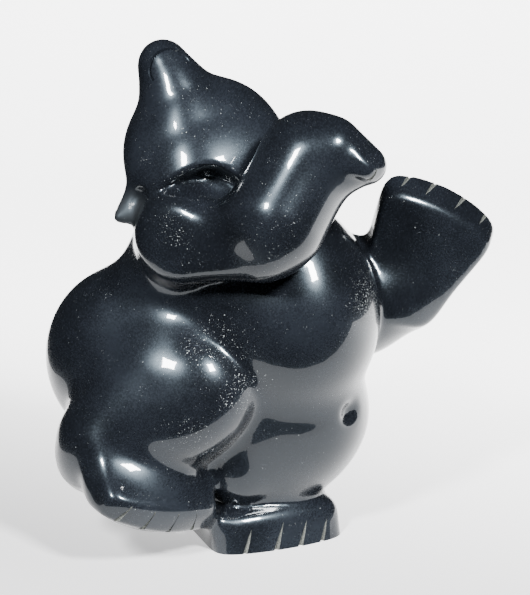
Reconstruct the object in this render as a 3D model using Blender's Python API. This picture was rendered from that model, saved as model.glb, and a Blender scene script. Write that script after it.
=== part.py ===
"""A dancing bear carved from one block of black soapstone.

The bear stands on its left foot with the head thrown back, the right arm raised across
the neck, the left arm held out and the right leg lifted. It faces -Y, its left side is +X.
The body is a field: masses are joined with fillets, and the surface is where the field is
zero. Claws and mouth are then cut with wedges and a V-shaped tool.
"""
import bpy
import bmesh
import numpy as np
from mathutils import Matrix
from math import cos, radians, sin

# Sizes in metres
WIDTH = 0.1781              # left hand to rump
DEPTH = 0.1094              # toes to tail
HEIGHT = 0.1963             # foot to nose
CLAW_WIDTH = 0.0030         # claw cuts, at the edge of the toes
CLAW_DEPTH = 0.0018
MOUTH_WIDTH = 0.0017
MOUTH_DEPTH = 0.0012
FACET = 0.0020              # grid that the stone is first roughed out on
TRIANGLES = 7600            # faces left after the roughing
STONE = (0.020, 0.021, 0.024, 1.0)

# The carving is laid out in millimetres and stretched to the three sizes at the end
MM = 0.001

def turned(turn):
    """Rotation matrix of the turns about X, Y and Z in degrees."""
    rx, ry, rz = (radians(a) for a in turn)
    about_x = np.array([[1, 0, 0], [0, cos(rx), -sin(rx)], [0, sin(rx), cos(rx)]])
    about_y = np.array([[cos(ry), 0, sin(ry)], [0, 1, 0], [-sin(ry), 0, cos(ry)]])
    about_z = np.array([[cos(rz), -sin(rz), 0], [sin(rz), cos(rz), 0], [0, 0, 1]])
    return about_z @ about_y @ about_x


def unit(v):
    return np.asarray(v, float) / np.linalg.norm(v)


def smooth(t):
    """0 below 0, 1 above 1, and an even step between."""
    t = np.clip(t, 0, 1)
    return t * t * (3 - 2 * t)


def join(a, b, k):
    """Union of two masses with a fillet about k wide."""
    h = np.maximum(k - np.abs(a - b), 0) / k
    return np.minimum(a, b) - h * h * h * k / 6


def meet(a, b, k):
    return -join(-a, -b, k)


def egg(p, centre, radii, turn=(0, 0, 0)):
    """Ellipsoid, turned about its centre."""
    r = np.asarray(radii, float)
    q = (p - np.asarray(centre, float)) @ turned(turn) / r
    k = np.sqrt((q * q).sum(-1)) + 1e-9
    return (k - 1) * k / (np.sqrt(((q / r) ** 2).sum(-1)) + 1e-9)


def limb(p, a, b, ra, rb):
    """Cone with round ends, radius ra at a and rb at b."""
    a, b = np.asarray(a, float), np.asarray(b, float)
    length = np.linalg.norm(b - a)
    along = (b - a) / length
    u = (p - a) @ along
    v = np.sqrt(np.maximum(((p - a) ** 2).sum(-1) - u * u, 0))
    s = (ra - rb) / length
    t = np.clip(u - v * s / np.sqrt(1 - s * s), 0, length)
    return np.hypot(u - t, v) - (ra + (rb - ra) * t / length)


def axes(toes, across):
    """Columns: across the paw, towards its heel, out of its back."""
    f = unit(toes)
    a = unit(np.asarray(across, float) - (np.asarray(across, float) @ f) * f)
    return np.stack([a, -f, np.cross(a, -f)], 1)


def paw(p, at, toes, across, wide, length, top, sole, arc, corner, edges, crown=(0, 0), bevel=0.0):
    """Flat paw from its toe line at `at`: wide, top and sole hold the toe and heel values."""
    q = (p - np.asarray(at, float)) @ axes(toes, across)
    x, y, z = q[..., 0], q[..., 1], q[..., 2]
    s = np.clip(y / length, -0.2, 1.2)
    half = wide[0] + (wide[1] - wide[0]) * s
    c = np.clip(np.abs(x) / half, 0, 1.2) ** 2
    above = (top[0] + (top[1] - top[0]) * s) * (1 - crown[0] * c)
    below = (sole[0] + (sole[1] - sole[0]) * s) * (1 - crown[1] * c)
    b = radians(bevel)
    front = (-y + arc * (x / wide[0]) ** 2) * cos(b) - z * sin(b)
    d = meet(np.abs(x) - half, front, corner)
    d = meet(d, y - length, corner)
    d = meet(d, z - above, edges[0])
    return meet(d, -z - below, edges[1])


BELLY_AT, BELLY = (-1.3, 6, 92.8), (46, 34, 44)
CHEST_AT, CHEST = (25, -4, 89), (31, 33, 38)
NECK_LOW, NECK_TOP, NECK = (-7.7, 2, 120), (-11.5, 6, 142.9), (28, 20)
LAP_AT, LAP = (7, 4, 46), (34, 28, 30)
RUMP_AT, RUMP = (-40.2, 5, 70.5), (35, 29, 37)
HAUNCH_AT, KNEE_AT, HAUNCH = (-25, -4, 94), (-15, -19, 70), (16, 20)
THIGH_AT, THIGH = (-19, -20, 57), (32, 23.5, 21.5)
SHIN_AT, ANKLE_AT, SHIN = (-28, -13, 67), (-50, -23, 45), (24.5, 18)
INSTEP_AT, INSTEP = (-34, -34, 29.5), (25, 11, 17)
LEG_AT, LEG = (25.6, 6, 47.5), (27.4, 30, 27.5)
SHOULDER_AT, ARMPIT_AT = (-19.7, -24, 126.4), (-7.5, -28, 126.2)
ELBOW_AT, WRIST_AT = (16.4, -37.5, 136.2), (27.8, -29, 155.4)
SHOULDER, UPPER_ARM, FOREARM = 17.6, 12.4, 18.7
FAR_SHOULDER_AT, FAR_ELBOW_AT, FAR_WRIST_AT = (22, 16, 94), (48, 23, 89), (64.6, 23, 92)
FAR_ARM = (22, 22.4, 17)
HEAD_AT, SKULL = np.array((-13.4, -4.0, 158.0)), (31, 28.6, 19)
MUZZLE_AT, MUZZLE_TIP, MUZZLE = (1, 16, 3), (-1.5, 32, 7.5), (12, 9.2)
EAR_ROOT, EAR_TIP, EAR, EAR_HOLLOW = (27, -13.3), (38.6, -14.8), (9.5, 2.8), (6, 5.2, 4.3)
JAW, JAW_TURN = -14.6, -7           # where the head ends at the throat, and where its edge turns back
DIMPLE_AT, DIMPLE = (48.6, -15.5, 53.4), (4.2, 5, 3.2)
NOSE = unit((-0.41, 0.45, 0.79))
SIDE = unit((0.905, 0.28, 0.31) - np.dot((0.905, 0.28, 0.31), NOSE) * NOSE)
HEAD_AXES = np.stack([SIDE, NOSE, np.cross(SIDE, NOSE)], 1)

STANDING_FOOT = dict(at=(19.9, -22.0, 5.8), toes=(0.42, -0.91, 0), across=(0.91, 0.42, 0), wide=(28.5, 23),
                     length=64, top=(9.5, 14), sole=(9, 9), arc=4, corner=14, edges=(8, 2), crown=(0.2, 0),
                     bevel=-14)
RAISED_FOOT = dict(at=(-26.8, -46, 19.2), toes=(0.36, -0.82, -0.42), across=(0.92, 0.36, -0.37),
                   wide=(26.4, 20), length=38, top=(6.5, 13), sole=(3.9, 6), arc=4.5, corner=12,
                   edges=(7, 3), crown=(0.15, 0))
NEAR_HAND = dict(at=(53.4, -37, 153.4), toes=(0.85, -0.1, -0.52), across=(0.1, 1, 0), wide=(10, 10),
                 length=12, top=(3.2, 5), sole=(3.2, 5), arc=2, corner=6, edges=(6, 5), crown=(0.3, 0))
FAR_HAND = dict(at=(83.8, 18, 131.4), toes=(0.46, 0, 0.89), across=(0.87, 0.1, -0.48), wide=(27, 15),
                length=50, top=(6, 14), sole=(6, 13), arc=5.5, corner=11,
                edges=(4, 4), crown=(0.3, 0.3), bevel=32)


def torso(p):
    d = egg(p, BELLY_AT, BELLY, (0, 12, 0))
    d = join(d, egg(p, CHEST_AT, CHEST), 26)
    d = join(d, egg(p, LAP_AT, LAP), 24)
    d = join(d, limb(p, NECK_LOW, NECK_TOP, *NECK), 14)
    d = join(d, egg(p, (21.4, -4, 114.7), (19, 20, 19)), 14)
    d = join(d, limb(p, (-12, 8, 118), (29, 18, 104), 19, 19), 14)
    d = join(d, egg(p, (-2, 22, 60), (34, 22, 28)), 20)
    return join(d, limb(p, (-6, 38, 67), (-7, 46, 60), 9, 6.5), 8)


def raised_leg(p):
    d = egg(p, RUMP_AT, RUMP, (0, 9, -12))
    d = join(d, limb(p, HAUNCH_AT, KNEE_AT, *HAUNCH), 20)
    d = join(d, egg(p, THIGH_AT, THIGH, (0, -34, 0)), 10)
    d = join(d, limb(p, SHIN_AT, ANKLE_AT, *SHIN), 12)
    d = join(d, limb(p, (-50, -20, 44), (-54, -22, 38), 17, 15), 8)
    d = join(d, limb(p, (-46, -12, 42), (-14, -6, 38), 14, 12), 12)
    foot = join(paw(p, **RAISED_FOOT), egg(p, INSTEP_AT, INSTEP, (-30, 15, 21)), 8)
    return join(d, foot, 11)


def standing_leg(p):
    d = egg(p, LEG_AT, LEG)
    d = join(d, egg(p, (1.8, -4, 27.8), (14, 20, 16)), 16)
    d = join(d, limb(p, (20.9, 4, 35.6), (12.5, 2, 18), 23, 18), 12)
    return join(d, paw(p, **STANDING_FOOT), 5)


def head(p):
    q = (p - HEAD_AT) @ HEAD_AXES
    d = egg(q, (1, -2, -3), SKULL)
    d = join(d, limb(q, MUZZLE_AT, MUZZLE_TIP, *MUZZLE), 10)
    d = join(d, limb(q, (-2, 22, 4.5), (-6, -14, -1), 10.5, 17), 12)
    d = join(d, egg(q, (0, -14, -4), (32, 18, 17)), 14)
    u, v, w = q[..., 0], q[..., 1], q[..., 2]
    edge = JAW - 0.06 * np.maximum(u - JAW_TURN, 0) ** 2 - 1.5 * np.maximum(-2 - w, 0)
    d = meet(d, (edge - v) * 0.8, 2.5)
    flat = np.array((1, 1, 1.8))
    for side in (-1, 1):
        root, tip = ((side * a, b, -4 * flat[2]) for a, b in (EAR_ROOT, EAR_TIP))
        d = join(d, limb(q * flat, root, tip, *EAR) / 1.3, 4)
        d = meet(d, -egg(q, (side * 33.2, -14, 2.2), EAR_HOLLOW), 1.5)
    return d


def near_arm(p):
    d = limb(p, SHOULDER_AT, ARMPIT_AT, SHOULDER, UPPER_ARM)
    d = join(d, limb(p, ARMPIT_AT, (12, -35, 129.6), UPPER_ARM, 15.5), 8)
    d = join(d, limb(p, (-16, -29, 122.5), (8, -37.5, 126), 11.5, 13), 12)
    d = meet(d, (p - (-20, -39, 127)) @ unit((-0.36, -0.92, 0.1)), 8)
    d = join(d, limb(p, ELBOW_AT, WRIST_AT, FOREARM, FOREARM), 14)
    d = join(d, limb(p, (36, -34, 161), (49, -35.5, 155.8), 12.3, 7), 6)
    d = join(d, limb(p, WRIST_AT, (50.8, -36.5, 154.6), FOREARM - 0.6, 4.6), 4)
    return join(d, paw(p, **NEAR_HAND), 5)


def far_arm(p):
    d = limb(p, FAR_SHOULDER_AT, FAR_ELBOW_AT, FAR_ARM[0], FAR_ARM[1])
    d = join(d, limb(p, FAR_ELBOW_AT, FAR_WRIST_AT, FAR_ARM[1], FAR_ARM[2]), 6)
    return join(d, paw(p, **FAR_HAND), 10)


def bear(p):
    """Signed distance, roughly, from the carving's surface; negative is stone."""
    x, y = p[..., 0], p[..., 1]
    d = torso(p)
    d = join(d, raised_leg(p), 6 + 10 * smooth((y + 5) / 30))
    d = join(d, standing_leg(p), 14)
    d = meet(d, -egg(p, DIMPLE_AT, DIMPLE), 5)
    d = join(d, near_arm(p), 4 + 12 * smooth((-4 - x) / 25) + 10 * smooth((y + 30) / 20))
    d = join(d, far_arm(p), 4 + 14 * smooth((y - 12) / 22))
    return join(d, head(p), 4 + 10 * smooth((y - 2) / 16))


# Claws of each paw: the run on the toe face from the edge inwards, then place and lean of each
CLAWS = (
    (STANDING_FOOT, (-9, 5), ((-15.2, 0.4), (-2.3, 0.4), (8.2, 0.4), (18.0, 0.4))),
    (RAISED_FOOT, (-5.5, 6.5), ((-17.4, 0.4), (-6.6, 0.2), (4.2, 0.1), (14.0, -0.15))),
    (FAR_HAND, (8.5, -5), ((-18.5, 0.38), (-8.1, 0.38), (5.2, 0.4), (16.7, 0.38))),
    (NEAR_HAND, (-3.5, 3.5), ((-6.9, 0), (-2.3, 0), (2.3, 0), (6.9, 0))),
)
MOUTH_ARCH = (-0.4, 25.8, 8.2, 7.9)      # centre, half width and height on the chin's face


def claws():
    """Base, tip and outward direction of every claw cut."""
    for sizes, (low, high), places in CLAWS:
        across, back, up = axes(sizes["toes"], sizes["across"]).T
        tilt = radians(sizes.get("bevel", 0))
        along = up * cos(tilt) - back * sin(tilt)
        out = -back * cos(tilt) - up * sin(tilt)
        for x, lean in places:
            middle = sizes["at"] + across * x + back * sizes["arc"] * (x / sizes["wide"][0]) ** 2
            base, tip = (middle + (along + across * lean) * t for t in (low, high))
            yield base, tip, out


def mouth_line(steps=25):
    """Points of the mouth with the outward and sideways directions there, and its size."""
    u, v, half, height = MOUTH_ARCH
    places = []
    for angle in np.radians(np.linspace(200, -15, steps)):
        inner = HEAD_AT + HEAD_AXES @ (u + half * cos(angle), v + height * sin(angle), 4)
        reach = np.arange(0, 24, 0.05)
        ray = inner + reach[:, None] * HEAD_AXES[:, 2]
        places.append(ray[np.argmax(head(ray) > 0)])
    places = np.array(places)
    along = np.gradient(places, axis=0)
    for i, (at, way) in enumerate(zip(places, along)):
        slope = np.array([head(at + e) - head(at - e) for e in np.eye(3) * 0.3])
        out = unit(slope)
        share = i / (steps - 1)
        yield (at, out, unit(np.cross(out, way))), min(1, 8 * (1 - share) + 0.1) * (1.25 - 0.5 * share)


def close_pinches(value):
    """Fill grid points of thin creases, where two sheets of the surface would share an edge."""
    while True:
        pinched = np.zeros(value.shape, bool)
        for axis in range(3):
            stone = np.moveaxis(value < 0, axis, 0)
            mark = np.moveaxis(pinched, axis, 0)
            corners = [(slice(None), u, v) for u, v in (
                (slice(0, -1), slice(0, -1)), (slice(1, None), slice(0, -1)),
                (slice(1, None), slice(1, None)), (slice(0, -1), slice(1, None)))]
            a, b, c, d = (stone[place] for place in corners)
            crossed = (a == c) & (b == d) & (a != b)
            for place in corners:
                mark[place] |= crossed & ~stone[place]
        if not pinched.any():
            return value
        value[pinched] = -0.05


def net(field, low, high, pitch):
    """Points and quads of the closed surface where the field is zero."""
    lines = [np.arange(a, b + pitch, pitch) for a, b in zip(low, high)]
    value = close_pinches(field(np.stack(np.meshgrid(*lines, indexing="ij"), -1)))
    cells = tuple(n - 1 for n in value.shape)
    total, count = np.zeros((np.prod(cells), 3)), np.zeros(np.prod(cells))
    quads = []
    for axis in range(3):
        near, far = [slice(None)] * 3, [slice(None)] * 3
        near[axis], far[axis] = slice(0, -1), slice(1, None)
        a, b = value[tuple(near)], value[tuple(far)]
        edge = np.argwhere((a < 0) != (b < 0))
        a, b = a[tuple(edge.T)], b[tuple(edge.T)]
        crossing = edge.astype(float)
        crossing[:, axis] += a / (a - b)
        ring = []
        for u, v in ((0, 0), (1, 0), (1, 1), (0, 1)):
            cell = edge.copy()
            cell[:, (axis + 1) % 3] -= u
            cell[:, (axis + 2) % 3] -= v
            cell = np.ravel_multi_index(cell.T, cells)
            np.add.at(total, cell, crossing)
            np.add.at(count, cell, 1)
            ring.append(cell)
        ring = np.stack(ring, 1)
        quads.append(np.where((a < 0)[:, None], ring, ring[:, ::-1]))
    used = np.flatnonzero(count)
    number = np.zeros(len(count), int)
    number[used] = np.arange(len(used))
    points = np.asarray(low) + total[used] / count[used, None] * pitch
    return points, number[np.concatenate(quads)]


def settle(points, field, rounds=3, reach=0.2):
    """Move points along the field's slope onto the surface."""
    for _ in range(rounds):
        slope = np.stack([field(points + e) - field(points - e) for e in np.eye(3) * reach], 1) / (2 * reach)
        share = field(points) / np.maximum((slope ** 2).sum(1), 0.2)
        points = points - slope * np.clip(share, -1, 1)[:, None]
    return points


def add_object(name, points, faces, material):
    mesh = bpy.data.meshes.new(name)
    mesh.from_pydata([tuple(p) for p in points], [], [tuple(f) for f in faces])
    mesh.materials.append(material)
    shape = bmesh.new()
    shape.from_mesh(mesh)
    bmesh.ops.recalc_face_normals(shape, faces=shape.faces[:])
    shape.to_mesh(mesh)
    shape.free()
    obj = bpy.data.objects.new(name, mesh)
    bpy.context.scene.collection.objects.link(obj)
    return obj


def add_stone(name, colour, roughness):
    material = bpy.data.materials.new(name)
    material.use_nodes = True
    shader = material.node_tree.nodes["Principled BSDF"]
    shader.inputs["Base Color"].default_value = colour
    shader.inputs["Roughness"].default_value = roughness
    shader.inputs["Metallic"].default_value = 0.0
    return material


def vee(stations):
    """Faces of a V-shaped cutter from its sections of five points each."""
    n, size = len(stations), 5
    faces = []
    for i in range(n - 1):
        for j in range(size):
            a, b = i * size, (i + 1) * size
            k = (j + 1) % size
            faces.append((a + j, b + j, b + k, a + k))
    faces.append(tuple(range(size))[::-1])
    faces.append(tuple((n - 1) * size + j for j in range(size)))
    return np.concatenate(stations), faces


def mouth_cutter():
    """V cut in an arch on the chin's face, square to the skin all along."""
    stations = []
    for place, size in mouth_line():
        at, out, side = place
        width, depth = MOUTH_WIDTH / MM * size / 2, MOUTH_DEPTH / MM * size
        stations.append(np.array([at - side * width + out * 2, at - side * width, at - out * depth,
                                  at + side * width, at + side * width + out * 2]))
    return vee(stations)


def claw_wedge(base, tip, out):
    """Four-sided wedge that lies half in the toe face, thick at the sole."""
    shape = bmesh.new()
    bmesh.ops.create_cone(shape, segments=4, radius1=1, radius2=0, depth=1, cap_ends=True)
    points = np.array([v.co for v in shape.verts]) + (0, 0, 0.5)
    faces = [[v.index for v in face.verts] for face in shape.faces]
    shape.free()
    along = tip - base
    side = unit(np.cross(along, out))
    deep = unit(np.cross(side, along))
    columns = np.stack([side * CLAW_WIDTH / MM / 2, deep * CLAW_DEPTH / MM, along], 1)
    return base + points @ columns.T, faces


def cut(obj, name, points, faces, material):
    tool = add_object(name, points, faces, material)
    tool.hide_render = True
    tool.display_type = "WIRE"
    boolean = obj.modifiers.new(name, "BOOLEAN")
    boolean.operation = "DIFFERENCE"
    boolean.solver = "EXACT"
    boolean.object = tool
    return tool


def apply_modifiers(obj):
    graph = bpy.context.evaluated_depsgraph_get()
    mesh = bpy.data.meshes.new_from_object(obj.evaluated_get(graph))
    obj.modifiers.clear()
    obj.data = mesh


def flatten_sole(obj):
    """Saw the stone off level at the ground and close the cut."""
    shape = bmesh.new()
    shape.from_mesh(obj.data)
    everything = shape.verts[:] + shape.edges[:] + shape.faces[:]
    cutting = bmesh.ops.bisect_plane(shape, geom=everything, dist=1e-7, plane_co=(0, 0, 0),
                                     plane_no=(0, 0, -1), clear_outer=True)
    rim = [e for e in cutting["geom_cut"] if isinstance(e, bmesh.types.BMEdge)]
    bmesh.ops.edgeloop_fill(shape, edges=rim)
    bmesh.ops.triangulate(shape, faces=shape.faces[:])
    shape.normal_update()
    shape.to_mesh(obj.data)
    shape.free()


def extent(field, pitch=12.0, reach=324.0):
    """Corners of a box that holds all of the stone, from a coarse look at the field."""
    line = np.arange(-reach, reach, pitch)
    points = np.stack(np.meshgrid(line, line, line, indexing="ij"), -1)
    inside = points[field(points) < pitch]
    return inside.min(0) - pitch, inside.max(0) + pitch


def build():
    for obj in list(bpy.data.objects):
        bpy.data.objects.remove(obj)
    stone = add_stone("soapstone", STONE, 0.2)
    points, quads = net(bear, *extent(bear), FACET / MM)
    points = settle(points, bear)
    low, high = points.min(0), points.max(0)
    low[2] = 0.0
    middle = np.array([(low[0] + high[0]) / 2, (low[1] + high[1]) / 2, 0])
    scale = np.array([WIDTH, DEPTH, HEIGHT]) / (high - low)
    carving = add_object("bear", (points - middle) * scale, quads, stone)
    thin = carving.modifiers.new("Facets", "DECIMATE")
    thin.ratio = TRIANGLES / (2 * len(quads))
    apply_modifiers(carving)
    flatten_sole(carving)
    shapes = [claw_wedge(*claw) for claw in claws()] + [mouth_cutter()]
    tools = [cut(carving, f"cut_{i}", (shape - middle) * scale, faces, stone)
             for i, (shape, faces) in enumerate(shapes)]
    apply_modifiers(carving)
    for tool in tools:
        bpy.data.objects.remove(tool)
    corners = np.array([v.co for v in carving.data.vertices])
    centre = (corners.min(0) + corners.max(0)) / 2
    carving.data.transform(Matrix.Translation((-centre[0], -centre[1], 0)))
    carving.data.shade_smooth()


build()
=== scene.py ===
# %% [markdown]
# # A dancing bear in polished black soapstone
# The real carving is one block of stone, about 20 cm tall, rubbed to a deep gloss and waxed.
# It stands on one foot with its head thrown back. This lesson builds the stone's surface as a
# field, cuts the claws and the mouth into it, and gives it a polished finish with the flecks
# and fine scratches that a hand-rubbed stone keeps.

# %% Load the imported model
import bpy
import bmesh
import numpy as np
from math import cos, radians, sin
from mathutils import Matrix, Vector


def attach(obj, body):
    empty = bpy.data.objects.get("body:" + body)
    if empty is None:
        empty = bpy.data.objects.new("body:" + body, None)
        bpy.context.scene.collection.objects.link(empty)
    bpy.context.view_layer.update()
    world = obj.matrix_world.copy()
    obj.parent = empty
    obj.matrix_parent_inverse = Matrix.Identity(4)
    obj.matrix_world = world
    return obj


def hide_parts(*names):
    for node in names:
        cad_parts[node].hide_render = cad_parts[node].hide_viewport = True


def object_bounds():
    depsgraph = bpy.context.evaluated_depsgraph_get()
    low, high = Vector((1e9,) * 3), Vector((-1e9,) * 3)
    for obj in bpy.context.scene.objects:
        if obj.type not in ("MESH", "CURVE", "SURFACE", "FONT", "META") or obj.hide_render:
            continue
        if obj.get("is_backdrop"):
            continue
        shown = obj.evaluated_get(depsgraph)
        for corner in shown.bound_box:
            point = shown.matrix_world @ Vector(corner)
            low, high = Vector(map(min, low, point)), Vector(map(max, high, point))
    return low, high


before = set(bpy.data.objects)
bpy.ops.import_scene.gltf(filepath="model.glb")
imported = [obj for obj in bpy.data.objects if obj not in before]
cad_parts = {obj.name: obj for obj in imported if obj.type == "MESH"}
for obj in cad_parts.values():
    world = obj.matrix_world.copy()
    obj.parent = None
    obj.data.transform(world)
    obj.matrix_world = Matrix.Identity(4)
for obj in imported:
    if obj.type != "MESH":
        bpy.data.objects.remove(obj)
cad_low, cad_high = (list(corner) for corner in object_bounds())
MM = 0.001
print("CAD box in mm:", [round((b - a) / MM, 1) for a, b in zip(cad_low, cad_high)])

# %% [markdown]
# ## The body as a field
# A carver takes rounded masses and lets them run into each other. A field does the same: each
# mass gives its distance from any point, negative inside the stone, and two masses are joined
# with a fillet of chosen width. Sculpting or metaballs would give the same soft forms, but
# here each mass keeps its own centre and radii in millimetres, so it can be moved and compared.

# %% Masses and joins
def turned(turn):
    """Rotation matrix of the turns about X, Y and Z in degrees."""
    rx, ry, rz = (radians(a) for a in turn)
    about_x = np.array([[1, 0, 0], [0, cos(rx), -sin(rx)], [0, sin(rx), cos(rx)]])
    about_y = np.array([[cos(ry), 0, sin(ry)], [0, 1, 0], [-sin(ry), 0, cos(ry)]])
    about_z = np.array([[cos(rz), -sin(rz), 0], [sin(rz), cos(rz), 0], [0, 0, 1]])
    return about_z @ about_y @ about_x


def unit(v):
    """The same direction, one long."""
    return np.asarray(v, float) / np.linalg.norm(v)


def smooth(t):
    """0 below 0, 1 above 1, and an even step between."""
    t = np.clip(t, 0, 1)
    return t * t * (3 - 2 * t)


def join(a, b, k):
    """Union of two masses with a fillet about k wide."""
    h = np.maximum(k - np.abs(a - b), 0) / k
    return np.minimum(a, b) - h * h * h * k / 6


def meet(a, b, k):
    """What two masses share, with its edge rounded about k wide."""
    return -join(-a, -b, k)


def egg(p, centre, radii, turn=(0, 0, 0)):
    """Ellipsoid, turned about its centre."""
    r = np.asarray(radii, float)
    q = (p - np.asarray(centre, float)) @ turned(turn) / r
    k = np.sqrt((q * q).sum(-1)) + 1e-9
    return (k - 1) * k / (np.sqrt(((q / r) ** 2).sum(-1)) + 1e-9)


def limb(p, a, b, ra, rb):
    """Cone with round ends, radius ra at a and rb at b."""
    a, b = np.asarray(a, float), np.asarray(b, float)
    length = np.linalg.norm(b - a)
    along = (b - a) / length
    u = (p - a) @ along
    v = np.sqrt(np.maximum(((p - a) ** 2).sum(-1) - u * u, 0))
    s = (ra - rb) / length
    t = np.clip(u - v * s / np.sqrt(1 - s * s), 0, length)
    return np.hypot(u - t, v) - (ra + (rb - ra) * t / length)


def axes(toes, across):
    """Columns: across the paw, towards its heel, out of its back."""
    f = unit(toes)
    a = unit(np.asarray(across, float) - (np.asarray(across, float) @ f) * f)
    return np.stack([a, -f, np.cross(a, -f)], 1)


def paw(p, at, toes, across, wide, length, top, sole, arc, corner, edges, crown=(0, 0), bevel=0.0):
    """Flat paw from its toe line at `at`: wide, top and sole hold the toe and heel values."""
    q = (p - np.asarray(at, float)) @ axes(toes, across)
    x, y, z = q[..., 0], q[..., 1], q[..., 2]
    s = np.clip(y / length, -0.2, 1.2)
    half = wide[0] + (wide[1] - wide[0]) * s
    c = np.clip(np.abs(x) / half, 0, 1.2) ** 2
    above = (top[0] + (top[1] - top[0]) * s) * (1 - crown[0] * c)
    below = (sole[0] + (sole[1] - sole[0]) * s) * (1 - crown[1] * c)
    b = radians(bevel)
    front = (-y + arc * (x / wide[0]) ** 2) * cos(b) - z * sin(b)
    d = meet(np.abs(x) - half, front, corner)
    d = meet(d, y - length, corner)
    d = meet(d, z - above, edges[0])
    return meet(d, -z - below, edges[1])


halfway = egg(np.array((5.0, 0, 0)), (0, 0, 0), (10, 10, 10))
print("halfway to the skin of a 10 mm ball the field reads", round(float(halfway), 2))

# %% [markdown]
# ## Where each mass sits
# Millimetres: X is to the picture's right, Y away from the viewer, Z up from the sole. A name
# that ends in AT, LOW, TOP, ROOT or TIP is a place, and the name without it is the mass's radii.
# The head has its own axes: sideways, towards the nose, and out of the throat.

# %% Places and sizes
BELLY_AT, BELLY = (-1.3, 6, 92.8), (46, 34, 44)
CHEST_AT, CHEST = (25, -4, 89), (31, 33, 38)
NECK_LOW, NECK_TOP, NECK = (-7.7, 2, 120), (-11.5, 6, 142.9), (28, 20)
LAP_AT, LAP = (7, 4, 46), (34, 28, 30)
RUMP_AT, RUMP = (-40.2, 5, 70.5), (35, 29, 37)
HAUNCH_AT, KNEE_AT, HAUNCH = (-25, -4, 94), (-15, -19, 70), (16, 20)
THIGH_AT, THIGH = (-19, -20, 57), (32, 23.5, 21.5)
SHIN_AT, ANKLE_AT, SHIN = (-28, -13, 67), (-50, -23, 45), (24.5, 18)
INSTEP_AT, INSTEP = (-34, -34, 29.5), (25, 11, 17)
LEG_AT, LEG = (25.6, 6, 47.5), (27.4, 30, 27.5)
SHOULDER_AT, ARMPIT_AT = (-19.7, -24, 126.4), (-7.5, -28, 126.2)
ELBOW_AT, WRIST_AT = (16.4, -37.5, 136.2), (27.8, -29, 155.4)
SHOULDER, UPPER_ARM, FOREARM = 17.6, 12.4, 18.7
FAR_SHOULDER_AT, FAR_ELBOW_AT, FAR_WRIST_AT = (22, 16, 94), (48, 23, 89), (64.6, 23, 92)
FAR_ARM = (22, 22.4, 17)
HEAD_AT, SKULL = np.array((-13.4, -4.0, 158.0)), (31, 28.6, 19)
MUZZLE_AT, MUZZLE_TIP, MUZZLE = (1, 16, 3), (-1.5, 32, 7.5), (12, 9.2)
EAR_ROOT, EAR_TIP, EAR, EAR_HOLLOW = (27, -13.3), (38.6, -14.8), (9.5, 2.8), (6.5, 5.6, 5)
EAR_FACE_AT, EAR_FLATNESS = (33.2, -14, 4.4), 1.8
JAW, JAW_TURN = -14.6, -7           # where the head ends at the throat, and where its edge turns back
JAW_BEND, JAW_SETBACK = 0.06, 1.5   # how fast the edge turns back, and how far it leans behind
DIPS, DIP_DEPTH = ((15, 3.5), (1, 4)), 0.35    # place and width of the hollows on the throat
DIMPLE_AT, DIMPLE = (48, -17.5, 53.4), (6, 5, 4.2)
NOSE = unit((-0.41, 0.45, 0.79))
SIDE = unit((0.905, 0.28, 0.31) - np.dot((0.905, 0.28, 0.31), NOSE) * NOSE)
HEAD_AXES = np.stack([SIDE, NOSE, np.cross(SIDE, NOSE)], 1)

STANDING_FOOT = dict(at=(19.9, -22.0, 5.8), toes=(0.42, -0.91, 0), across=(0.91, 0.42, 0),
                     wide=(28.5, 23), length=64, top=(9.5, 14), sole=(9, 9), arc=4, corner=14,
                     edges=(8, 2), crown=(0.2, 0), bevel=-14)
RAISED_FOOT = dict(at=(-26.8, -46, 19.2), toes=(0.36, -0.82, -0.42), across=(0.92, 0.36, -0.37),
                   wide=(26.4, 20), length=38, top=(6.5, 13), sole=(3.9, 6), arc=4.5, corner=12,
                   edges=(7, 3), crown=(0.15, 0))
NEAR_HAND = dict(at=(53.4, -37, 153.4), toes=(0.85, -0.1, -0.52), across=(0.1, 1, 0), wide=(10, 10),
                 length=12, top=(3.2, 5), sole=(3.2, 5), arc=2, corner=6, edges=(6, 5), crown=(0.3, 0))
FAR_HAND = dict(at=(83.8, 18, 131.4), toes=(0.46, 0, 0.89), across=(0.87, 0.1, -0.48), wide=(27, 15),
                length=50, top=(6, 14), sole=(6, 13), arc=5.5, corner=11,
                edges=(4, 4), crown=(0.3, 0.3), bevel=32)
print("nose direction:", NOSE.round(2), "standing foot:", STANDING_FOOT["length"], "mm long")

# %% [markdown]
# ## Trunk and legs
# The trunk is a heavy belly with a chest, a lap and a neck. The lifted leg starts at the rump,
# runs over the haunch to the thigh and comes back down the shin to a foot with its toes out.

# %% Trunk and legs
def torso(p):
    """Belly, chest, lap, neck, back and tail."""
    d = egg(p, BELLY_AT, BELLY, (0, 12, 0))
    d = join(d, egg(p, CHEST_AT, CHEST), 26)
    d = join(d, egg(p, LAP_AT, LAP), 24)
    d = join(d, limb(p, NECK_LOW, NECK_TOP, *NECK), 14)
    d = join(d, limb(p, (-24, -10, 139), (2, -9, 139), 9, 9), 10)
    d = join(d, egg(p, (21.4, -4, 114.7), (19, 20, 19)), 14)
    d = join(d, limb(p, (-12, 8, 118), (29, 18, 104), 19, 19), 14)
    d = join(d, egg(p, (-2, 22, 60), (34, 22, 28)), 20)
    return join(d, limb(p, (-6, 38, 67), (-7, 46, 60), 9, 6.5), 8)


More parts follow.
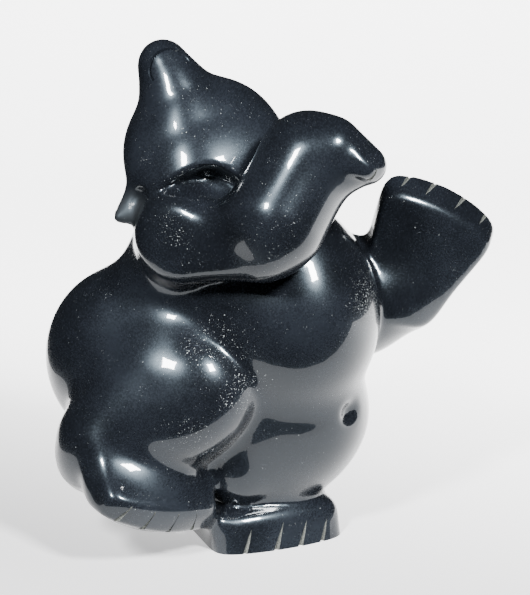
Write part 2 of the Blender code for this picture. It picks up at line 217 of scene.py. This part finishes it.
def raised_leg(p):
    """Rump, haunch, thigh, shin and the lifted foot."""
    d = egg(p, RUMP_AT, RUMP, (0, 9, -12))
    d = join(d, limb(p, HAUNCH_AT, KNEE_AT, *HAUNCH), 20)
    d = join(d, egg(p, THIGH_AT, THIGH, (0, -34, 0)), 10)
    d = join(d, limb(p, SHIN_AT, ANKLE_AT, *SHIN), 12)
    d = join(d, limb(p, (-50, -20, 44), (-54, -22, 38), 17, 15), 8)
    d = join(d, limb(p, (-46, -12, 42), (-14, -6, 38), 14, 12), 12)
    foot = join(paw(p, **RAISED_FOOT), egg(p, INSTEP_AT, INSTEP, (-30, 15, 21)), 8)
    return join(d, foot, 11)


def standing_leg(p):
    """Leg, ankle and the foot that carries the bear."""
    d = egg(p, LEG_AT, LEG)
    d = join(d, egg(p, (1.8, -4, 27.8), (14, 20, 16)), 16)
    d = join(d, limb(p, (20.9, 4, 35.6), (12.5, 2, 18), 23, 18), 12)
    return join(d, paw(p, **STANDING_FOOT), 5)


midriff = np.array((10.0, 0.0, 90.0))
print("field in the midriff:", round(float(torso(midriff)), 1), "mm")

# %% [markdown]
# ## Head
# The skull, the muzzle and the throat run into each other. The jaw's edge is cut across them, so
# the head ends in a crease and not in a fillet. Two faint hollows on the throat break its long
# highlight, and each ear is a flat petal with a slightly hollow face.

# %% Head
def head(p):
    """The thrown back head, down to the jaw's edge."""
    q = (p - HEAD_AT) @ HEAD_AXES
    d = egg(q, (1, -2, -3), SKULL)
    d = join(d, limb(q, MUZZLE_AT, MUZZLE_TIP, *MUZZLE), 10)
    d = join(d, limb(q, (-2, 22, 4.5), (-6, -14, -1), 10.5, 17), 12)
    d = join(d, egg(q, (0, -14, -4), (32, 18, 17)), 14)
    u, v, w = q[..., 0], q[..., 1], q[..., 2]
    edge = JAW - JAW_BEND * np.maximum(u - JAW_TURN, 0) ** 2 - JAW_SETBACK * np.maximum(-2 - w, 0)
    d = meet(d, (edge - v) * 0.8, 2.5)
    dips = sum(np.exp(-((v - at) / width) ** 2) for at, width in DIPS)
    d = d + DIP_DEPTH * dips * smooth(w / 8)
    flat = np.array((1, 1, EAR_FLATNESS))
    for side in (-1, 1):
        root, tip = ((side * a, b, -4 * flat[2]) for a, b in (EAR_ROOT, EAR_TIP))
        d = join(d, limb(q * flat, root, tip, *EAR) / 1.3, 4)
        d = meet(d, -egg(q, np.array(EAR_FACE_AT) * (side, 1, 1), EAR_HOLLOW), 1.5)
    return d


print("field in the skull:", round(float(head(HEAD_AT)), 1), "mm")

# %% [markdown]
# ## Arms and the whole bear
# The near arm comes off a flattened shoulder and folds up across the neck. The far arm is a fan
# that widens to the open hand. Creases are sharp where limbs cross in front and soften into
# wide fillets behind, so the fillet's width grows with Y.

# %% Arms and the whole bear
def near_arm(p):
    """Shoulder, upper arm, forearm and the small hand at its tip."""
    d = limb(p, SHOULDER_AT, ARMPIT_AT, SHOULDER, UPPER_ARM)
    d = join(d, limb(p, ARMPIT_AT, (12, -35, 129.6), UPPER_ARM, 15.5), 8)
    d = join(d, limb(p, (-16, -29, 122.5), (8, -37.5, 126), 11.5, 13), 12)
    d = meet(d, (p - (-20, -38, 127)) @ unit((-0.36, -0.92, 0.1)), 6)
    d = join(d, limb(p, ELBOW_AT, WRIST_AT, FOREARM, FOREARM), 14)
    d = join(d, limb(p, (36, -34, 161), (49, -35.5, 155.8), 12.3, 7), 6)
    d = join(d, limb(p, WRIST_AT, (50.8, -36.5, 154.6), FOREARM - 0.6, 4.6), 4)
    return join(d, paw(p, **NEAR_HAND), 5)


def far_arm(p):
    """The arm that is held out, with its broad hand."""
    d = limb(p, FAR_SHOULDER_AT, FAR_ELBOW_AT, FAR_ARM[0], FAR_ARM[1])
    d = join(d, limb(p, FAR_ELBOW_AT, FAR_WRIST_AT, FAR_ARM[1], FAR_ARM[2]), 6)
    return join(d, paw(p, **FAR_HAND), 10)


def bear(p):
    """Signed distance, roughly, from the carving's surface; negative is stone."""
    x, y = p[..., 0], p[..., 1]
    d = torso(p)
    d = join(d, raised_leg(p), 6 + 10 * smooth((y + 5) / 30))
    d = join(d, standing_leg(p), 14)
    d = meet(d, -egg(p, DIMPLE_AT, DIMPLE), 5)
    d = join(d, near_arm(p), 4 + 12 * smooth((-4 - x) / 25) + 10 * smooth((y + 30) / 20))
    d = join(d, far_arm(p), 4 + 14 * smooth((y - 12) / 22))
    return join(d, head(p), 4 + 10 * smooth((y - 2) / 16))


print("field in the midriff of the whole bear:", round(float(bear(midriff)), 1), "mm")

# %% [markdown]
# ## Where the claws and the mouth run
# Every claw lies on a paw's toe face, so its line comes from that paw's own sizes. For each paw
# the table holds the run on the toe face from the edge inwards, then place and lean of each cut.
# The mouth is an arch on the head's own axes, thrown onto the skin along the throat's direction.

# %% Claw and mouth lines
CLAWS = (
    (STANDING_FOOT, (-9, 5), ((-15.2, 0.4), (-2.3, 0.4), (8.2, 0.4), (18.0, 0.4))),
    (RAISED_FOOT, (-5.5, 6.5), ((-17.4, 0.4), (-6.6, 0.2), (4.2, 0.1), (14.0, -0.15))),
    (FAR_HAND, (8.5, -5), ((-18.5, 0.38), (-8.1, 0.38), (5.2, 0.4), (16.7, 0.38))),
    (NEAR_HAND, (-3.5, 3.5), ((-6.9, 0), (-2.3, 0), (2.3, 0), (6.9, 0))),
)
MOUTH_ARCH = (-1.2, 25.8, 8.0, 7.8)      # centre, half width and height on the chin's face
MOUTH_START, MOUTH_END = 192, -12        # degrees of the arch, from the bear's right corner


def claws():
    """Base, tip and outward direction of every claw cut."""
    for sizes, (low, high), places in CLAWS:
        across, back, up = axes(sizes["toes"], sizes["across"]).T
        tilt = radians(sizes.get("bevel", 0))
        along = up * cos(tilt) - back * sin(tilt)
        out = -back * cos(tilt) - up * sin(tilt)
        for x, lean in places:
            middle = sizes["at"] + across * x + back * sizes["arc"] * (x / sizes["wide"][0]) ** 2
            base, tip = (middle + (along + across * lean) * t for t in (low, high))
            yield base, tip, out


def mouth_line(steps=61):
    """Points of the mouth with the outward and sideways directions there, and its size."""
    u, v, half, height = MOUTH_ARCH
    places = []
    for angle in np.radians(np.linspace(MOUTH_START, MOUTH_END, steps)):
        inner = HEAD_AT + HEAD_AXES @ (u + half * cos(angle), v + height * sin(angle), 4)
        reach = np.arange(0, 24, 0.05)
        ray = inner + reach[:, None] * HEAD_AXES[:, 2]
        places.append(ray[np.argmax(head(ray) > 0)])
    places = np.array(places)
    along = np.gradient(places, axis=0)
    for i, (at, way) in enumerate(zip(places, along)):
        slope = np.array([head(at + e) - head(at - e) for e in np.eye(3) * 0.3])
        out = unit(slope)
        share = i / (steps - 1)
        size = min(1, 8 * (1 - share) + 0.1) * (1.25 - 0.5 * share)
        yield (at, out, unit(np.cross(out, way))), size


print("claw cuts:", len(list(claws())), "of", [round(float(np.linalg.norm(b - a)), 1)
                                               for a, b, _ in list(claws())[::4]], "mm")

# %% [markdown]
# ## From the field to a skin
# Blender has no object for such a field, so its zero surface is netted on a grid: each grid cell
# that the surface crosses gets one point, and the cells round each crossed grid line make a
# quad. The grid is first read coarsely, and finely only near the surface. The points are then
# slid along the field's slope until they lie on it, which takes out the grid's steps.

# %% Net the surface
PITCH = 1.25                 # millimetres between grid lines
FILLED = -0.05               # field value that closes a grid point of a pinched crease
NEAR_SURFACE = 1.7           # coarse cells within which the field is read again finely


def extent(field, pitch=12.0, reach=324.0):
    """Corners of a box that holds all of the stone, from a coarse look at the field."""
    line = np.arange(-reach, reach, pitch)
    points = np.stack(np.meshgrid(line, line, line, indexing="ij"), -1)
    inside = points[field(points) < pitch]
    return inside.min(0) - pitch, inside.max(0) + pitch


def read_field(field, lines, coarse=4):
    """The field on the grid; far from the surface the nearest coarse value stands in."""
    sparse = [line[coarse // 2::coarse] for line in lines]
    rough = field(np.stack(np.meshgrid(*sparse, indexing="ij"), -1))
    pick = [np.minimum(np.arange(len(line)) // coarse, len(few) - 1)
            for line, few in zip(lines, sparse)]
    value = rough[np.ix_(*pick)]
    close = np.argwhere(np.abs(value) < NEAR_SURFACE * coarse * PITCH)
    points = np.stack([line[close[:, i]] for i, line in enumerate(lines)], -1)
    value[tuple(close.T)] = field(points)
    return value


def close_pinches(value):
    """Fill grid points of thin creases, where two sheets of the surface would share an edge."""
    while True:
        pinched = np.zeros(value.shape, bool)
        for axis in range(3):
            stone = np.moveaxis(value < 0, axis, 0)
            mark = np.moveaxis(pinched, axis, 0)
            corners = [(slice(None), u, v) for u, v in (
                (slice(0, -1), slice(0, -1)), (slice(1, None), slice(0, -1)),
                (slice(1, None), slice(1, None)), (slice(0, -1), slice(1, None)))]
            a, b, c, d = (stone[place] for place in corners)
            crossed = (a == c) & (b == d) & (a != b)
            for place in corners:
                mark[place] |= crossed & ~stone[place]
        if not pinched.any():
            return value
        value[pinched] = FILLED


def net(field, low, high, pitch):
    """Points and quads of the closed surface where the field is zero."""
    lines = [np.arange(a, b + pitch, pitch) for a, b in zip(low, high)]
    value = close_pinches(read_field(field, lines))
    cells = tuple(n - 1 for n in value.shape)
    total, count = np.zeros((np.prod(cells), 3)), np.zeros(np.prod(cells))
    quads = []
    for axis in range(3):
        near, far = [slice(None)] * 3, [slice(None)] * 3
        near[axis], far[axis] = slice(0, -1), slice(1, None)
        a, b = value[tuple(near)], value[tuple(far)]
        edge = np.argwhere((a < 0) != (b < 0))
        a, b = a[tuple(edge.T)], b[tuple(edge.T)]
        crossing = edge.astype(float)
        crossing[:, axis] += a / (a - b)
        ring = []
        for u, v in ((0, 0), (1, 0), (1, 1), (0, 1)):
            cell = edge.copy()
            cell[:, (axis + 1) % 3] -= u
            cell[:, (axis + 2) % 3] -= v
            cell = np.ravel_multi_index(cell.T, cells)
            np.add.at(total, cell, crossing)
            np.add.at(count, cell, 1)
            ring.append(cell)
        ring = np.stack(ring, 1)
        quads.append(np.where((a < 0)[:, None], ring, ring[:, ::-1]))
    used = np.flatnonzero(count)
    number = np.zeros(len(count), int)
    number[used] = np.arange(len(used))
    points = np.asarray(low) + total[used] / count[used, None] * pitch
    return points, number[np.concatenate(quads)]


def settle(points, field, rounds=4, reach=0.15):
    """Move points along the field's slope onto the surface."""
    for _ in range(rounds):
        rise = [field(points + step) - field(points - step) for step in np.eye(3) * reach]
        slope = np.stack(rise, 1) / (2 * reach)
        share = field(points) / np.maximum((slope ** 2).sum(1), 0.2)
        points = points - slope * np.clip(share, -1, 1)[:, None]
    return points


points, quads = net(bear, *extent(bear), PITCH)
points = settle(points, bear)
print("net:", len(points), "points,", len(quads), "quads, furthest off the surface by",
      round(float(np.abs(bear(points)).max()), 3), "mm")

# %% [markdown]
# ## One mesh, sawn level at the sole
# The foot's mass runs a little below the ground. A level cut there leaves the flat sole that
# the carving stands on, with the crisp edge that sawing leaves.

# %% Make the mesh and saw the sole
def add_object(name, points, faces, *materials):
    """A mesh object with its faces turned outwards."""
    mesh = bpy.data.meshes.new(name)
    mesh.from_pydata([tuple(p) for p in points], [], [tuple(f) for f in faces])
    for material in materials:
        mesh.materials.append(material)
    shape = bmesh.new()
    shape.from_mesh(mesh)
    bmesh.ops.recalc_face_normals(shape, faces=shape.faces[:])
    shape.to_mesh(mesh)
    shape.free()
    obj = bpy.data.objects.new(name, mesh)
    bpy.context.scene.collection.objects.link(obj)
    return obj


def spans(obj):
    """Lengths of the mesh along X, Y and Z."""
    return np.ptp([v.co for v in obj.data.vertices], axis=0)


def saw_level(obj):
    """Cut away what lies below the ground and close the sole."""
    shape = bmesh.new()
    shape.from_mesh(obj.data)
    everything = shape.verts[:] + shape.edges[:] + shape.faces[:]
    cutting = bmesh.ops.bisect_plane(shape, geom=everything, dist=1e-7, plane_co=(0, 0, 0),
                                     plane_no=(0, 0, -1), clear_outer=True)
    rim = [e for e in cutting["geom_cut"] if isinstance(e, bmesh.types.BMEdge)]
    bmesh.ops.edgeloop_fill(shape, edges=rim)
    shape.normal_update()
    shape.to_mesh(obj.data)
    shape.free()


def apply_modifiers(obj):
    """Give the object the mesh that its modifiers make, and take them off."""
    graph = bpy.context.evaluated_depsgraph_get()
    mesh = bpy.data.meshes.new_from_object(obj.evaluated_get(graph))
    obj.modifiers.clear()
    obj.data = mesh


# %% [markdown]
# ## Two finishes
# Polished soapstone is nearly black. Wax and rubbing give it two kinds of shine at once: a
# sharp one from the waxed top and a wide, bluish haze from the stone just under it, so the
# shader has a broad base gloss below a clear coat. Pale talc flecks sit in clusters, and fine
# scratches follow the strokes of the last sanding. The cuts were never polished, so they stay
# dull, grey and grainy. Shader sums are easier to read as Python, so one small class stands
# for a socket and takes + - * and the rest.

# %% A small kit for shader sums
class Socket:
    """A node socket that takes part in Python arithmetic."""

    def __init__(self, tree, link):
        self.tree, self.link = tree, link

    def sum(self, operation, *values, clamp=False):
        """One math node over the values."""
        return self.tree.node("ShaderNodeMath", {"operation": operation, "use_clamp": clamp},
                              dict(enumerate(values)))

    def __add__(self, other):
        return self.sum("ADD", self, other)

    def __radd__(self, other):
        return self.sum("ADD", other, self)

    def __sub__(self, other):
        return self.sum("SUBTRACT", self, other)

    def __rsub__(self, other):
        return self.sum("SUBTRACT", other, self)

    def __mul__(self, other):
        return self.sum("MULTIPLY", self, other)

    def __rmul__(self, other):
        return self.sum("MULTIPLY", other, self)

    def most(self, other):
        return self.sum("MAXIMUM", self, other)

    def clamp(self):
        return self.sum("ADD", self, 0.0, clamp=True)

    def step(self, low, high):
        """0 below low, 1 above high."""
        return self.tree.node("ShaderNodeMapRange", {"interpolation_type": "SMOOTHSTEP"},
                              {"Value": self, "From Min": low, "From Max": high})


class Finish:
    """A material whose nodes are added one call at a time."""

    def __init__(self, name):
        self.material = bpy.data.materials.new(name)
        self.material.use_nodes = True
        self.nodes = self.material.node_tree.nodes
        self.links = self.material.node_tree.links
        self.shader = self.nodes["Principled BSDF"]

    def node(self, kind, settings, inputs, output=0):
        """A node of the kind, with its settings first and then its values and links."""
        made = self.nodes.new(kind)
        for name, value in settings.items():
            setattr(made, name, value)
        for key, value in inputs.items():
            if isinstance(value, Socket):
                self.links.new(value.link, made.inputs[key])
            else:
                made.inputs[key].default_value = value
        return Socket(self, made.outputs[output])

    def place(self, scale=(1, 1, 1), turn=(0, 0, 0)):
        """Object coordinates in millimetres, turned and stretched."""
        where = self.node("ShaderNodeTexCoord", {}, {}, "Object")
        size = tuple(s / MM for s in scale)
        return self.node("ShaderNodeMapping", {}, {"Vector": where, "Scale": size,
                                                   "Rotation": tuple(radians(a) for a in turn)})

    def noise(self, where, scale, detail=2.0, roughness=0.5):
        """Even noise round a half."""
        return self.node("ShaderNodeTexNoise", {}, {"Vector": where, "Scale": scale, "Detail": detail,
                                                    "Roughness": roughness}, 0)

    def blend(self, mask, a, b):
        """Colour a where the mask is 0 and b where it is 1."""
        return self.node("ShaderNodeMix", {"data_type": "RGBA"}, {0: mask, 6: a, 7: b}, 2)

    def near(self, here, places):
        """Soft balls of given centre, radius and strength, 0 outside them."""
        mask = None
        for centre, radius, strength in places:
            gap = self.node("ShaderNodeVectorMath", {"operation": "DISTANCE"}, {0: here, 1: centre}, 1)
            ball = (1 - gap.step(radius * 0.3, radius)) * strength
            mask = ball if mask is None else mask.most(ball)
        return mask

    def feed(self, **sockets):
        """Values and links of the shader's inputs, by their names with _ for a space."""
        for name, value in sockets.items():
            socket = self.shader.inputs[name.replace("_", " ")]
            if isinstance(value, Socket):
                self.links.new(value.link, socket)
            else:
                socket.default_value = value


# %% [markdown]
# ### Polished stone
# The flecks are small noise peaks, let through only where a slow noise and a few named places
# say that the talc is dense. Each place is a soft ball, in millimetres from the ground centre.

# %% The polished finish
FLECK_PLACES = (
    ((37, -17, 100), 18, 0.9),
    ((-9, -36, 68), 17, 0.8),
    ((-19, -32, 85), 22, 0.6),
    ((-32, -41, 51), 16, 0.5),
    ((-37, -38, 133), 14, 0.5),
    ((-25, -14, 171), 22, 0.3),
    ((0, -54, 132), 22, 0.3),
)
EARS = (((-54, -19, 136), 10, 1.0), ((10, 1, 158), 10, 1.0))
BLACK, BLUE_BLACK = (0.0030, 0.0036, 0.0048, 1), (0.0090, 0.0110, 0.0150, 1)
EAR_GREY, SCRATCH_GREY, TALC = (0.016, 0.018, 0.020, 1), (0.20, 0.22, 0.25, 1), (0.40, 0.43, 0.43, 1)
CUT_DARK, CUT_PALE = (0.030, 0.032, 0.030, 1), (0.15, 0.16, 0.145, 1)
COOL_GLOSS = (0.70, 0.87, 1.0, 1)


def polished_stone():
    """Waxed black stone with talc flecks, fine scratches and dull ear faces."""
    stone = Finish("polished_soapstone")
    here = stone.place()
    patch = stone.noise(here, 0.09, 3.0).step(0.45, 0.75)
    dense = (stone.near(here, FLECK_PLACES) + patch * 0.35).clamp()
    dull = stone.near(here, EARS)

    grain = stone.noise(here, 1.9, 2.0, 0.6)
    crumbs = stone.noise(here, 0.75, 1.0)
    flecks = (grain + dense * 0.14 + crumbs * 0.25).step(0.87, 0.95)
    scratch_a = stone.noise(stone.place((2.6, 0.10, 2.6), (20, -35, 15)), 1.0, 1.0).step(0.68, 0.80)
    scratch_b = stone.noise(stone.place((0.12, 2.4, 2.4), (-15, 30, 40)), 1.0, 1.0).step(0.70, 0.82)
    scratches = (scratch_a + scratch_b).clamp() * patch.most(dense)
    veil = stone.noise(here, 0.035, 4.0).step(0.35, 0.75)
    strokes = stone.noise(stone.place((1.5, 0.11, 1.5), (35, -25, 10)), 1.0, 3.0).step(0.35, 0.7)

    body = stone.blend(veil * 0.6 + strokes * 0.4, BLACK, BLUE_BLACK)
    body = stone.blend(dull * 0.8, body, EAR_GREY)
    body = stone.blend(scratches * 0.3, body, SCRATCH_GREY)
    body = stone.blend(flecks * 0.8, body, TALC)
    roughness = 0.21 + veil * 0.08 + strokes * 0.06 + scratches * 0.2 + flecks * 0.2 + dull * 0.2
    ripple = stone.noise(here, 0.055, 1.0)
    pores = stone.noise(here, 1.4, 2.0)
    height = ripple * 0.5 + flecks * -0.05 + scratches * -0.02 + pores * 0.002
    bump = stone.node("ShaderNodeBump", {}, {"Strength": 0.25, "Distance": 0.0006, "Height": height})
    stone.feed(Base_Color=body, Specular_Tint=COOL_GLOSS, Roughness=roughness,
               Coat_Weight=(0.75 - flecks * 0.6 - dull * 0.7).clamp(), Coat_Roughness=0.035,
               Coat_IOR=1.45, IOR=1.45, Specular_IOR_Level=0.28, Normal=bump)
    return stone.material


def rough_stone():
    """Dull, grainy grey of a fresh cut."""
    stone = Finish("cut_soapstone")
    here = stone.place()
    grain = stone.noise(here, 2.2, 4.0, 0.7)
    colour = stone.blend(grain.step(0.35, 0.7), CUT_DARK, CUT_PALE)
    bump = stone.node("ShaderNodeBump", {}, {"Strength": 0.6, "Distance": 0.0003, "Height": grain})
    stone.feed(Base_Color=colour, Roughness=0.85, Specular_IOR_Level=0.3, Normal=bump)
    return stone.material


polished, rough = polished_stone(), rough_stone()
print("nodes:", len(polished.node_tree.nodes), "polished,", len(rough.node_tree.nodes), "cut")

# %% [markdown]
# ## The block takes shape
# The netted points become one mesh in the polished finish, and the saw gives it its flat sole.

# %% Make the stone
carving = add_object("bear_stone", points * MM, quads, polished)
saw_level(carving)
print("stone:", len(carving.data.polygons), "faces")

# %% [markdown]
# ## Claw cuts
# Sixteen cuts mark the toes, four to a paw. Each is a filed V that is widest at the edge and
# runs out on the toe face. They repeat, so Geometry Nodes puts one slim four-sided wedge on a
# point for each claw and turns and stretches it by the values that the point carries.

# %% Claw points
CLAW_WIDTH, CLAW_DEPTH = 2.8, 1.7
WEDGE_SIDES, WEDGE_FACES = 4, 5


def claw_points():
    """One loose point for each claw, with the turn and the size of its wedge."""
    bases, turns, sizes = [], [], []
    for base, tip, out in claws():
        along = tip - base
        side = unit(np.cross(along, out))
        turn = Matrix(np.stack([side, np.cross(unit(along), side), unit(along)], 1).tolist())
        bases.append(base * MM)
        turns.append(tuple(turn.to_euler()))
        sizes.append((CLAW_WIDTH / 2 * MM, CLAW_DEPTH * MM, np.linalg.norm(along) * MM))
    mesh = bpy.data.meshes.new("claw_points")
    mesh.from_pydata([tuple(b) for b in bases], [], [])
    for name, values in (("turn", turns), ("size", sizes)):
        layer = mesh.attributes.new(name, "FLOAT_VECTOR", "POINT")
        layer.data.foreach_set("vector", np.array(values).ravel())
    obj = bpy.data.objects.new("claw_points", mesh)
    bpy.context.scene.collection.objects.link(obj)
    return obj


def wedge_tree(material):
    """Node group that places a wedge on each point."""
    tree = bpy.data.node_groups.new("Wedges on points", "GeometryNodeTree")
    tree.interface.new_socket("Points", in_out="INPUT", socket_type="NodeSocketGeometry")
    sides = tree.interface.new_socket("Sides", in_out="INPUT", socket_type="NodeSocketInt")
    tree.interface.new_socket("Wedges", in_out="OUTPUT", socket_type="NodeSocketGeometry")

    def node(kind, settings, inputs):
        made = tree.nodes.new(kind)
        for name, value in settings.items():
            setattr(made, name, value)
        for name, value in inputs.items():
            if isinstance(value, bpy.types.NodeSocket):
                tree.links.new(value, made.inputs[name])
            else:
                made.inputs[name].default_value = value
        return made

    entry = tree.nodes.new("NodeGroupInput")
    turn = node("GeometryNodeInputNamedAttribute", {"data_type": "FLOAT_VECTOR"}, {"Name": "turn"})
    size = node("GeometryNodeInputNamedAttribute", {"data_type": "FLOAT_VECTOR"}, {"Name": "size"})
    spin = node("FunctionNodeEulerToRotation", {}, {"Euler": turn.outputs["Attribute"]})
    wedge = node("GeometryNodeMeshCone", {}, {"Vertices": entry.outputs["Sides"], "Radius Top": 0.0,
                                              "Radius Bottom": 1.0, "Depth": 1.0})
    placed = node("GeometryNodeInstanceOnPoints", {},
                  {"Points": entry.outputs["Points"], "Instance": wedge.outputs["Mesh"],
                   "Rotation": spin.outputs["Rotation"], "Scale": size.outputs["Attribute"]})
    real = node("GeometryNodeRealizeInstances", {}, {"Geometry": placed.outputs["Instances"]})
    finish = node("GeometryNodeSetMaterial", {},
                  {"Geometry": real.outputs["Geometry"], "Material": material})
    way_out = tree.nodes.new("NodeGroupOutput")
    tree.links.new(finish.outputs["Geometry"], way_out.inputs["Wedges"])
    return tree, sides.identifier


wedges = claw_points()
tree, sides_input = wedge_tree(rough)
grower = wedges.modifiers.new("Wedges", "NODES")
grower.node_group = tree
grower[sides_input] = WEDGE_SIDES
apply_modifiers(wedges)
print("claw wedges:", len(wedges.data.polygons) // WEDGE_FACES)

# %% [markdown]
# ## The mouth
# One arch on the chin's face is the whole mouth. Its tool is a V swept along the arch and kept
# square to the skin, a little wider at the bear's right corner as in the photograph. It was
# waxed over with the rest, so it keeps the polished finish and reads as a thin dark line.

# %% Mouth
MOUTH_WIDTH, MOUTH_DEPTH = 1.3, 1.3
CLEAR = 2                    # millimetres that the tool stands out of the skin


def mouth_tool():
    """A V with its open side raised clear of the skin, swept along the mouth."""
    stations = []
    for (at, out, side), size in mouth_line():
        width, depth = MOUTH_WIDTH * size / 2, MOUTH_DEPTH * size
        rise = out * CLEAR
        stations.append(np.array([at - side * width + rise, at - side * width, at - out * depth,
                                  at + side * width, at + side * width + rise]))
    n, size, faces = len(stations), 5, []
    for i in range(n - 1):
        for j in range(size):
            a, b, k = i * size, (i + 1) * size, (j + 1) % size
            faces.append((a + j, b + j, b + k, a + k))
    faces += [tuple(range(size))[::-1], tuple((n - 1) * size + j for j in range(size))]
    return add_object("mouth_tool", np.concatenate(stations) * MM, faces, polished)


mouth = mouth_tool()
print("mouth tool:", (spans(mouth) / MM).round(1), "mm")

# %% [markdown]
# ## Cutting
# The wedges and the arch are taken out of the stone. Each cut keeps the finish of its tool.

# %% Cut the stone
tools = [wedges, mouth]
for tool in tools:
    boolean = carving.modifiers.new(tool.name, "BOOLEAN")
    boolean.operation = "DIFFERENCE"
    boolean.solver = "EXACT"
    boolean.material_mode = "TRANSFER"
    boolean.object = tool
apply_modifiers(carving)
for tool in tools:
    bpy.data.objects.remove(tool)
print("cut:", len(carving.data.polygons), "faces,", len(carving.data.materials), "finishes")

# %% [markdown]
# ## Put the stone where the CAD model stands
# The CAD model's origin is the middle of its box, so the skin's box is centred on the CAD box in X and
# Y, and its sole stays on the ground.

# %% Place the stone
CREASE_ANGLE = radians(38)   # edges steeper than this keep their crispness
corners = np.array([v.co for v in carving.data.vertices])
low, high = corners.min(0), corners.max(0)
shift = (np.array(cad_low) + np.array(cad_high) - low - high) / 2
shift[2] = 0.0
carving.data.transform(Matrix.Translation(shift))
carving.data.shade_smooth()
carving.data.set_sharp_from_angle(angle=CREASE_ANGLE)
print("shift in mm:", (shift / MM).round(2), "skin:", ((high - low) / MM).round(2))
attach(carving, "root")
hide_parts("bear")

# %% [markdown]
# ## Studio
# The photograph was taken from a little above, on a white sweep. The stone mirrors its
# surroundings, so what is round it matters as much as the lamps: a white floor that ends just
# below the picture, a dark room above it, and small bright softboxes.

# %% Camera
DISTANCE, ELEVATION = 0.9, radians(15)
PIXEL = 0.39                 # millimetres of the carving's mid-plane in one pixel
PICTURE_HEIGHT, SENSOR = 595, 36
AIM_X, AIM_Z = 11.7, 95.4    # the picture's middle on the carving, before it was centred
target = Vector((AIM_X + shift[0] / MM, shift[1] / MM, AIM_Z)) * MM
camera_data = bpy.data.cameras.new("camera")
camera_data.sensor_fit = "VERTICAL"
camera_data.sensor_height = SENSOR
camera_data.lens = DISTANCE / (PIXEL * MM) * SENSOR / PICTURE_HEIGHT
camera = bpy.data.objects.new("camera", camera_data)
camera.location = target + Vector((0, -cos(ELEVATION), sin(ELEVATION))) * DISTANCE
camera.rotation_euler = (radians(90) - ELEVATION, 0, 0)
bpy.context.scene.collection.objects.link(camera)
bpy.context.scene.camera = camera
print("lens:", round(camera_data.lens, 1), "mm")

# %% [markdown]
# ### Paper
# The paper runs back flat and rises only as far as the picture needs, because every strip of it
# comes back as a pale band in the stone. It glows a little towards the back and the right, which
# stands for the lamps behind a white sweep.

# %% Floor and sweep
FRONT, BACK, LEFT, RIGHT = -0.105, 0.9, -0.24, 0.75      # metres from the carving's middle
BEND, RISE = 0.14, 0.16
PAPER, GLOW_FRONT, GLOW_BACK = (0.55, 0.55, 0.555, 1), (0.09, 0.09, 0.092, 1), (1, 1, 1, 1)
GLOW = 4.2


def add_sweep():
    """White floor that curves up into a low backdrop behind the carving."""
    arc = [(BACK - BEND + BEND * sin(a), BEND - BEND * cos(a))
           for a in np.radians(np.linspace(0, 90, 16))]
    profile = [(FRONT, 0.0)] + arc + [(BACK, RISE)]
    points = [(x, y, z) for y, z in profile for x in (LEFT, RIGHT)]
    faces = [(2 * i, 2 * i + 1, 2 * i + 3, 2 * i + 2) for i in range(len(profile) - 1)]
    paper = Finish("white_paper")
    along = paper.node("ShaderNodeVectorMath", {"operation": "DOT_PRODUCT"},
                       {0: paper.place(), 1: (0.5, 1, 0)}, 1)
    glow = paper.blend(along.step(-120, 320), GLOW_FRONT, GLOW_BACK)
    paper.feed(Base_Color=PAPER, Roughness=0.7, Emission_Color=glow, Emission_Strength=GLOW)
    sweep = add_object("sweep", points, faces, paper.material)
    sweep.data.shade_smooth()
    return sweep


sweep = add_sweep()
sweep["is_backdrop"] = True
print("paper:", spans(sweep).round(2), "m")

# %% [markdown]
# ### Lamps
# Two small softboxes stand either side of the camera, where the photograph's bright marks say
# that its lamps were. The room itself is almost dark.

# %% Lamps
LAMP_DISTANCE = 1.3
LAMP_AIM = Vector((0, 0, 0.1))


def add_softbox(name, azimuth, elevation, size, watts):
    """Rectangular lamp that looks at the carving from the given angles."""
    lamp_data = bpy.data.lights.new(name, "AREA")
    lamp_data.shape = "RECTANGLE"
    lamp_data.size, lamp_data.size_y = size
    lamp_data.energy = watts
    lamp = bpy.data.objects.new(name, lamp_data)
    a, e = radians(azimuth), radians(elevation)
    way = Vector((sin(a) * cos(e), -cos(a) * cos(e), sin(e)))
    lamp.location = LAMP_AIM + way * LAMP_DISTANCE
    lamp.rotation_euler = way.to_track_quat("Z", "Y").to_euler()
    bpy.context.scene.collection.objects.link(lamp)


add_softbox("key", 35, 40, (0.20, 0.22), 54)
add_softbox("side", -28, 38, (0.16, 0.24), 44)
world = bpy.data.worlds.new("room")
world.use_nodes = True
background = world.node_tree.nodes["Background"]
background.inputs["Color"].default_value = (0.5, 0.54, 0.6, 1)
background.inputs["Strength"].default_value = 0.05
bpy.context.scene.world = world
print("lamps:", [light.name for light in bpy.data.lights])

# %% [markdown]
# ## Measure against the CAD box
# The skin's box is measured, and the room it leaves to the CAD box on each side is printed.
# The skin has to stay inside the CAD box.

# %% Finish
new_low, new_high = (list(corner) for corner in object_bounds())
print("room to the CAD box in mm:", [round((a - b) / MM, 2) for a, b in zip(cad_high, new_high)])
